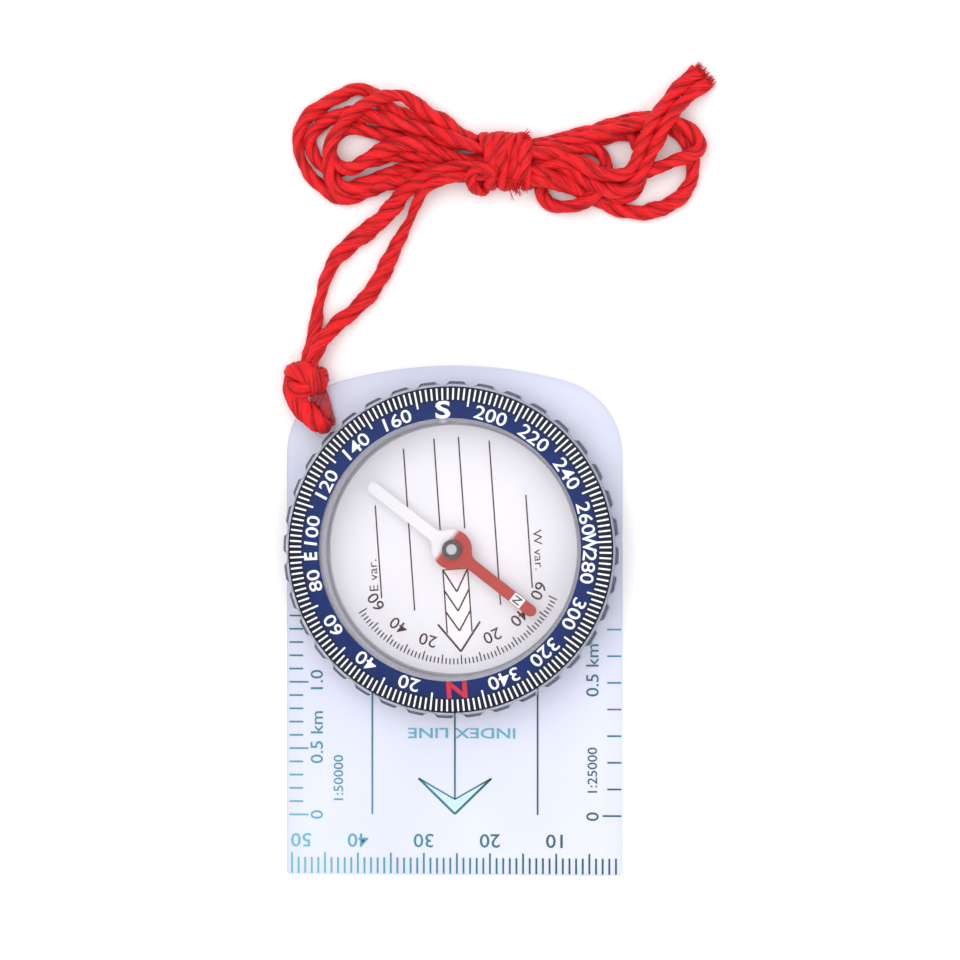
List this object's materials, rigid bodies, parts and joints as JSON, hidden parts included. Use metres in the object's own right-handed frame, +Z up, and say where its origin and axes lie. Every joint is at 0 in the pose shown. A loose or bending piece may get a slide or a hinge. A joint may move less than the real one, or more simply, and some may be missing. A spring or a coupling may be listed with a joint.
{
  "type": "baseplate compass",
  "caption": "Clear baseplate compass with a turning graduated dial over a liquid capsule with a swinging needle, ruler edges, and a red cord lanyard tied at one corner and wrapped into a hank.",
  "frame": {"origin": "middle of the baseplate's footprint, on its underside", "axes": "+Z up through the dial; -Y is the direction of travel that the plate's arrow points along; +X is the side with the millimetre ruler's zero"},
  "size_m": [0.0642, 0.1216, 0.0078],
  "materials": {
    "clear_plate": "polished clear acrylic with a faint blue-violet tint",
    "clear_dial": "polished clear plastic",
    "clear_capsule": "polished clear plastic",
    "navy_scale": "dark blue, satin, white graduations",
    "friction_plastic": "white slippery plastic",
    "spring_steel": "spring steel",
    "seal_rubber": "pale translucent rubber",
    "plug_plastic": "pale plastic",
    "disc_print": "white printed film",
    "bush_brass": "turned brass",
    "pin_steel": "polished hardened steel",
    "needle_paint": "red north arm, white south arm",
    "cap_black": "black",
    "jewel": "polished jewel",
    "cord_red": "twisted red cord"
  },
  "bodies": {
    "base": {"baseplate": "clear_plate", "friction_ring": "friction_plastic", "lanyard_loop_under": "cord_red", "lanyard_loop_over": "cord_red", "lanyard_knot": "cord_red", "lanyard_strand_left": "cord_red", "lanyard_strand_right": "cord_red", "lanyard_hank": "cord_red", "lanyard_wrap": "cord_red", "lanyard_tail": "cord_red"},
    "dial": {"bezel": "clear_dial", "scale_ring": "navy_scale", "retaining_ring": "spring_steel", "capsule_cup": "clear_capsule", "capsule_seal": "seal_rubber", "capsule_cover": "clear_capsule", "filler_plug": "plug_plastic", "orienting_disc": "disc_print", "pivot_bush": "bush_brass", "pivot_pin": "pin_steel"},
    "needle": {"needle_blade": "needle_paint", "needle_cap": "cap_black", "jewel_bearing": "jewel"}
  },
  "joints": [
    {"name": "dial_turn", "type": "hinge", "parent": "base", "child": "dial", "pos_m": [0, 0.0107, 0.003], "axis": [0, 0, 1], "continuous": true},
    {"name": "needle_swing", "type": "hinge", "parent": "dial", "child": "needle", "pos_m": [0, 0.0107, 0.0048], "axis": [0, 0, 1], "continuous": true}
  ]
}
